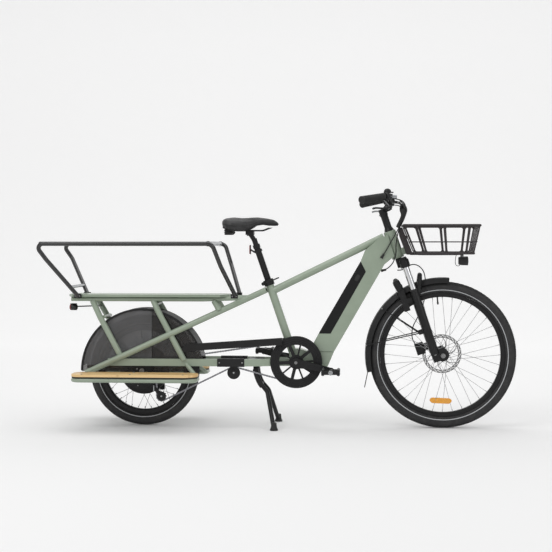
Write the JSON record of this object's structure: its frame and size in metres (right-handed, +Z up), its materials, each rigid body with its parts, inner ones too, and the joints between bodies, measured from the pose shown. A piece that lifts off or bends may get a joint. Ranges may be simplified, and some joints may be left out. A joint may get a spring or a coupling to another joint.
{
  "type": "cargo bicycle",
  "caption": "Longtail electric cargo bicycle with a rear passenger deck, safety rails, footboards, front basket, suspension fork and double-leg stand.",
  "frame": {"origin": "centre of the bounding box in plan, at the ground under the tyres", "axes": "+X forward, +Y to the rider's left, +Z up"},
  "size_m": [2.1701, 0.6676, 1.1],
  "materials": {
    "frame_paint": "satin",
    "bamboo": "satin",
    "black_tube": "satin",
    "black_plastic": "matte",
    "smoked_panel": "satin",
    "lamp_plastic": "gloss",
    "basket_black": "matte",
    "chain_steel": "satin",
    "black_alloy": "satin",
    "axle_steel": "satin",
    "chrome_tube": "polished",
    "grip_rubber": "matte",
    "cable_rubber": "satin",
    "tyre_rubber": "matte",
    "spoke_steel": "satin",
    "saddle_cover": "satin",
    "battery_case": "satin"
  },
  "bodies": {
    "frame": {"head_tube": "frame_paint", "down_tube": "frame_paint", "top_tube": "frame_paint", "seat_tube": "frame_paint", "bottom_bracket_shell": "frame_paint", "lower_stays": "frame_paint", "diagonal_stays": "frame_paint", "upright_stays": "frame_paint", "rack_rails": "frame_paint", "rack_platform": "frame_paint", "footboard_tubes": "frame_paint", "footboards": "bamboo", "safety_rails": "black_tube", "rear_mudguard": "black_plastic", "wheel_skirts": "smoked_panel", "rear_light": "lamp_plastic", "basket": "basket_black", "headlight": "lamp_plastic", "frame_covers": "black_plastic", "chain": "chain_steel", "frame_brackets": "black_alloy", "seat_clamp": "black_alloy", "axle_and_bearings": "axle_steel", "derailleur": "black_alloy", "rear_caliper": "black_alloy"},
    "steering": {"fork_crown": "black_alloy", "stanchions": "chrome_tube", "stem": "black_alloy", "handlebar": "black_alloy", "grips": "grip_rubber", "controls": "black_plastic", "control_cables": "cable_rubber"},
    "slider": {"fork_lowers": "black_alloy", "front_axle": "axle_steel", "front_mudguard": "black_plastic", "front_caliper": "black_alloy", "ring_lock": "black_plastic"},
    "front_wheel": {"front_tyre": "tyre_rubber", "front_rim": "black_alloy", "front_spokes": "spoke_steel", "front_hub": "black_alloy"},
    "rear_wheel": {"rear_tyre": "tyre_rubber", "rear_rim": "black_alloy", "rear_spokes": "spoke_steel", "hub_motor": "black_alloy"},
    "crankset": {"chainring": "black_plastic", "crank_arms": "black_alloy"},
    "pedal_right": {"right_pedal": "black_plastic"},
    "pedal_left": {"left_pedal": "black_plastic"},
    "freewheel_cog": {"freewheel": "axle_steel"},
    "jockey_guide": {"guide_jockey": "black_plastic"},
    "jockey_tension": {"tension_jockey": "black_plastic"},
    "idler": {"idler_pulley": "black_plastic"},
    "stand": {"stand_legs": "black_alloy"},
    "lever_right": {"right_brake_lever": "black_alloy"},
    "lever_left": {"left_brake_lever": "black_alloy"},
    "striker": {"bell_striker": "black_plastic"},
    "seat": {"seatpost": "black_alloy", "saddle": "saddle_cover"},
    "battery_pack": {"battery": "battery_case"}
  },
  "joints": [
    {"name": "steering_turn", "type": "hinge", "parent": "frame", "child": "steering", "pos_m": [0.54675, 0, 0.781], "axis": [-0.3173, 0, 0.9483], "range_deg": [-35, 35], "deforming": ["control_cables"]},
    {"name": "fork_travel", "type": "slide", "parent": "steering", "child": "slider", "axis": [-0.3173, 0, 0.9483], "range_m": [0, 0.05], "stiffness_N_per_m": 9000, "springref_m": -0.04, "deforming": ["control_cables"]},
    {"name": "front_wheel_spin", "type": "hinge", "parent": "slider", "child": "front_wheel", "pos_m": [0.74825, 0, 0.337], "axis": [0, 1, 0], "continuous": true},
    {"name": "rear_wheel_spin", "type": "hinge", "parent": "frame", "child": "rear_wheel", "pos_m": [-0.63625, 0, 0.258], "axis": [0, 1, 0], "continuous": true},
    {"name": "crank_spin", "type": "hinge", "parent": "frame", "child": "crankset", "pos_m": [0.07775, 0, 0.303], "axis": [0, 1, 0], "continuous": true},
    {"name": "right_pedal_spin", "type": "hinge", "parent": "crankset", "child": "pedal_right", "pos_m": [0.23878, 0, 0.26701], "axis": [0, 1, 0], "continuous": true},
    {"name": "left_pedal_spin", "type": "hinge", "parent": "crankset", "child": "pedal_left", "pos_m": [-0.08328, 0, 0.33899], "axis": [0, 1, 0], "continuous": true},
    {"name": "freewheel_spin", "type": "hinge", "parent": "frame", "child": "freewheel_cog", "pos_m": [-0.63625, 0, 0.258], "axis": [0, 1, 0], "continuous": true},
    {"name": "guide_jockey_spin", "type": "hinge", "parent": "frame", "child": "jockey_guide", "pos_m": [-0.59325, 0, 0.193], "axis": [0, 1, 0], "continuous": true},
    {"name": "tension_jockey_spin", "type": "hinge", "parent": "frame", "child": "jockey_tension", "pos_m": [-0.54775, 0, 0.141], "axis": [0, 1, 0], "continuous": true},
    {"name": "idler_spin", "type": "hinge", "parent": "frame", "child": "idler", "pos_m": [-0.21125, 0, 0.252], "axis": [0, 1, 0], "continuous": true},
    {"name": "stand_fold", "type": "hinge", "parent": "frame", "child": "stand", "pos_m": [-0.11125, 0, 0.262], "axis": [0, 1, 0], "range_deg": [0, 88]},
    {"name": "right_brake_lever_pull", "type": "hinge", "parent": "steering", "child": "lever_right", "pos_m": [0.51218, -0.20784, 1.02166], "axis": [-0.5922, 0.6327, -0.499], "range_deg": [0, 10], "stiffness_Nm_per_rad": 2, "springref_deg": -14.32},
    {"name": "left_brake_lever_pull", "type": "hinge", "parent": "steering", "child": "lever_left", "pos_m": [0.51218, 0.20784, 1.02166], "axis": [0.5922, 0.6327, 0.499], "range_deg": [0, 10], "stiffness_Nm_per_rad": 2, "springref_deg": -14.32},
    {"name": "bell_striker_flick", "type": "hinge", "parent": "steering", "child": "striker", "pos_m": [0.51575, -0.176, 1.078], "axis": [0, 0, -1], "range_deg": [0, 20], "stiffness_Nm_per_rad": 0.02, "springref_deg": -34.38},
    {"name": "seatpost_height", "type": "slide", "parent": "frame", "child": "seat", "axis": [-0.3239, 0, 0.9461], "range_m": [-0.12, 0.09]},
    {"name": "battery_release", "type": "slide", "parent": "frame", "child": "battery_pack", "axis": [-1, 0, 0], "range_m": [0, 0.065]}
  ],
  "couplings": [
    {"joint": "freewheel_spin", "follows": "crank_spin", "ratio": 2.6667},
    {"joint": "guide_jockey_spin", "follows": "crank_spin", "ratio": -4.3636},
    {"joint": "tension_jockey_spin", "follows": "crank_spin", "ratio": 4.3636},
    {"joint": "idler_spin", "follows": "crank_spin", "ratio": -3.6923}
  ]
}
